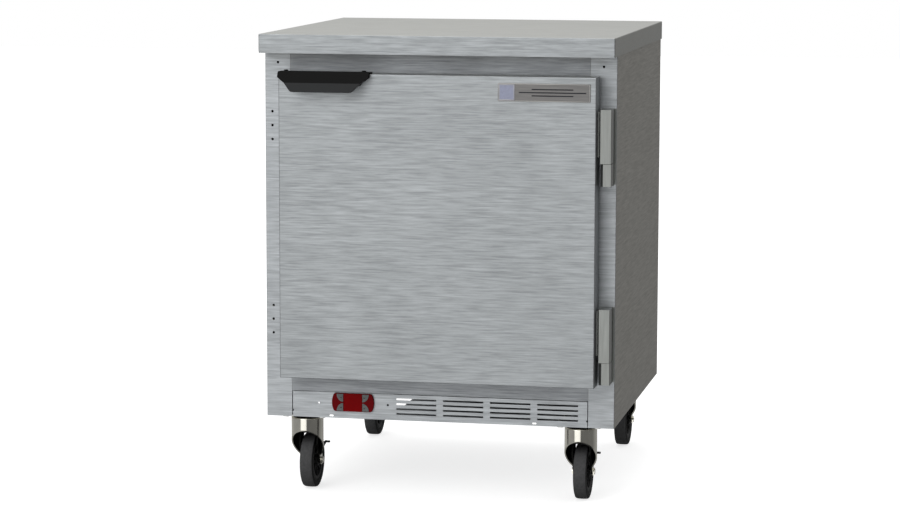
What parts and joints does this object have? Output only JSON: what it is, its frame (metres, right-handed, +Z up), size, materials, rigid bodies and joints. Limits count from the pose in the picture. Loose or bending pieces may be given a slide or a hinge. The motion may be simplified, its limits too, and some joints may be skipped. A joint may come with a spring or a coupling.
{
  "type": "undercounter refrigerator",
  "caption": "Undercounter refrigerator on hooded swivel casters, with one hinged insulated door, wire shelves, a rear condensing unit and a thermostat in its louvred kick panel.",
  "frame": {"origin": "on the floor, under the centre of the whole footprint, door handle and rear casters included", "axes": "+X to the right of the door, +Y towards the rear grille, +Z up"},
  "size_m": [0.6858, 0.7646, 0.8992],
  "materials": {
    "worktop_steel": "fine brushed stainless",
    "side_steel": "brushed stainless",
    "front_steel": "brushed stainless",
    "door_steel": "horizontally brushed stainless",
    "galvanised": "galvanised sheet",
    "liner": "stucco-free satin aluminium sheet",
    "white_plastic": "extruded white plastic",
    "black_plastic": "moulded black plastic",
    "foam": "polyurethane foam",
    "screw_steel": "zinc-plated steel",
    "facia": "dark red moulded plastic",
    "window": "smoked red acrylic",
    "key_rubber": "grey silicone rubber",
    "shelf_coating": "epoxy-coated wire",
    "coil_metal": "aluminium fins",
    "motor": "black enamel",
    "compressor_paint": "black enamel",
    "copper": "bare copper tube",
    "fan_plastic": "moulded plastic",
    "caster_plating": "nickel-plated pressed steel",
    "caster_tyre": "dark grey rubber",
    "pedal_plastic": "moulded black plastic",
    "hinge_chrome": "satin chrome-plated casting",
    "gasket_rubber": "grey vinyl",
    "handle_plastic": "moulded black plastic",
    "badge_metal": "satin printed plate",
    "badge_tile": "lavender enamel"
  },
  "bodies": {
    "cabinet": {"back_panel": "galvanised", "base_frame": "galvanised", "breaker_strip": "white_plastic", "cabinet_screws": "screw_steel", "cabinet_underside": "galvanised", "caster_plates": "caster_plating", "compressor": "compressor_paint", "condensate_pan": "black_plastic", "condenser_coil": "coil_metal", "condenser_fan_motor": "motor", "condenser_shroud": "galvanised", "controller_body": "black_plastic", "controller_facia": "facia", "controller_window": "window", "cord_gland": "black_plastic", "drip_tray": "white_plastic", "evaporator_coil": "coil_metal", "evaporator_cover": "liner", "evaporator_fan_motor": "motor", "face_frame": "front_steel", "foam_insulation": "foam", "inner_liner": "liner", "kick_panel": "front_steel", "left_side_panel": "side_steel", "lower_hinge_frame_leaf": "hinge_chrome", "lower_shelf": "shelf_coating", "rear_grille": "galvanised", "refrigerant_lines": "copper", "right_side_panel": "side_steel", "shelf_clips": "screw_steel", "shelf_pilasters": "galvanised", "upper_hinge_frame_leaf": "hinge_chrome", "upper_shelf": "shelf_coating", "worktop": "worktop_steel"},
    "door": {"door_outer_pan": "door_steel", "door_foam": "foam", "door_inner_panel": "liner", "door_gasket": "gasket_rubber", "door_handle": "handle_plastic", "door_screws": "screw_steel", "badge_plate": "badge_metal", "badge_tile": "badge_tile", "upper_hinge_door_leaf": "hinge_chrome", "lower_hinge_door_leaf": "hinge_chrome"},
    "evaporator_fan": {"evaporator_fan_blade": "fan_plastic"},
    "condenser_fan": {"condenser_fan_blade": "fan_plastic"},
    "key_set": {"key_set": "key_rubber"},
    "key_up": {"key_up": "key_rubber"},
    "key_down": {"key_down": "key_rubber"},
    "key_defrost": {"key_defrost": "key_rubber"},
    "front_left_caster": {"front_left_caster_hood": "caster_plating"},
    "front_left_wheel": {"front_left_caster_wheel": "caster_tyre"},
    "front_right_caster": {"front_right_caster_hood": "caster_plating"},
    "front_right_wheel": {"front_right_caster_wheel": "caster_tyre"},
    "rear_left_caster": {"rear_left_caster_hood": "caster_plating"},
    "rear_left_wheel": {"rear_left_caster_wheel": "caster_tyre"},
    "rear_right_caster": {"rear_right_caster_hood": "caster_plating"},
    "rear_right_wheel": {"rear_right_caster_wheel": "caster_tyre"},
    "front_left_brake": {"front_left_brake_pedal": "pedal_plastic"},
    "front_right_brake": {"front_right_brake_pedal": "pedal_plastic"}
  },
  "joints": [
    {"name": "door_hinge", "type": "hinge", "parent": "cabinet", "child": "door", "pos_m": [0.33, -0.3238, 0.495], "axis": [0, 0, 1], "range_deg": [0, 110]},
    {"name": "evaporator_fan_spin", "type": "hinge", "parent": "cabinet", "child": "evaporator_fan", "pos_m": [-0.12, 0.2182, 0.702], "axis": [0, -1, 0], "continuous": true},
    {"name": "condenser_fan_spin", "type": "hinge", "parent": "cabinet", "child": "condenser_fan", "pos_m": [-0.22, 0.2272, 0.274], "axis": [1, 0, 0], "continuous": true},
    {"name": "key_set_press", "type": "slide", "parent": "cabinet", "child": "key_set", "axis": [0, 1, 0], "range_m": [0, 0.0008], "stiffness_N_per_m": 900},
    {"name": "key_up_press", "type": "slide", "parent": "cabinet", "child": "key_up", "axis": [0, 1, 0], "range_m": [0, 0.0008], "stiffness_N_per_m": 900},
    {"name": "key_down_press", "type": "slide", "parent": "cabinet", "child": "key_down", "axis": [0, 1, 0], "range_m": [0, 0.0008], "stiffness_N_per_m": 900},
    {"name": "key_defrost_press", "type": "slide", "parent": "cabinet", "child": "key_defrost", "axis": [0, 1, 0], "range_m": [0, 0.0008], "stiffness_N_per_m": 900},
    {"name": "front_left_swivel", "type": "hinge", "parent": "cabinet", "child": "front_left_caster", "pos_m": [-0.2711, -0.2603, 0.146], "axis": [0, 0, 1], "continuous": true},
    {"name": "front_left_roll", "type": "hinge", "parent": "front_left_caster", "child": "front_left_wheel", "pos_m": [-0.2711, -0.2243, 0.054], "axis": [1, 0, 0], "continuous": true},
    {"name": "front_left_brake_press", "type": "hinge", "parent": "front_left_caster", "child": "front_left_brake", "pos_m": [-0.2711, -0.2263, 0.082], "axis": [-1, 0, 0], "range_deg": [0, 10]},
    {"name": "front_right_swivel", "type": "hinge", "parent": "cabinet", "child": "front_right_caster", "pos_m": [0.2711, -0.2603, 0.146], "axis": [0, 0, 1], "continuous": true},
    {"name": "front_right_roll", "type": "hinge", "parent": "front_right_caster", "child": "front_right_wheel", "pos_m": [0.2711, -0.2243, 0.054], "axis": [1, 0, 0], "continuous": true},
    {"name": "front_right_brake_press", "type": "hinge", "parent": "front_right_caster", "child": "front_right_brake", "pos_m": [0.2711, -0.2263, 0.082], "axis": [-1, 0, 0], "range_deg": [0, 10]},
    {"name": "rear_left_swivel", "type": "hinge", "parent": "cabinet", "child": "rear_left_caster", "pos_m": [-0.2711, 0.2923, 0.146], "axis": [0, 0, 1], "continuous": true},
    {"name": "rear_left_roll", "type": "hinge", "parent": "rear_left_caster", "child": "rear_left_wheel", "pos_m": [-0.2711, 0.3283, 0.054], "axis": [1, 0, 0], "continuous": true},
    {"name": "rear_right_swivel", "type": "hinge", "parent": "cabinet", "child": "rear_right_caster", "pos_m": [0.2711, 0.2923, 0.146], "axis": [0, 0, 1], "continuous": true},
    {"name": "rear_right_roll", "type": "hinge", "parent": "rear_right_caster", "child": "rear_right_wheel", "pos_m": [0.2711, 0.3283, 0.054], "axis": [1, 0, 0], "continuous": true}
  ]
}
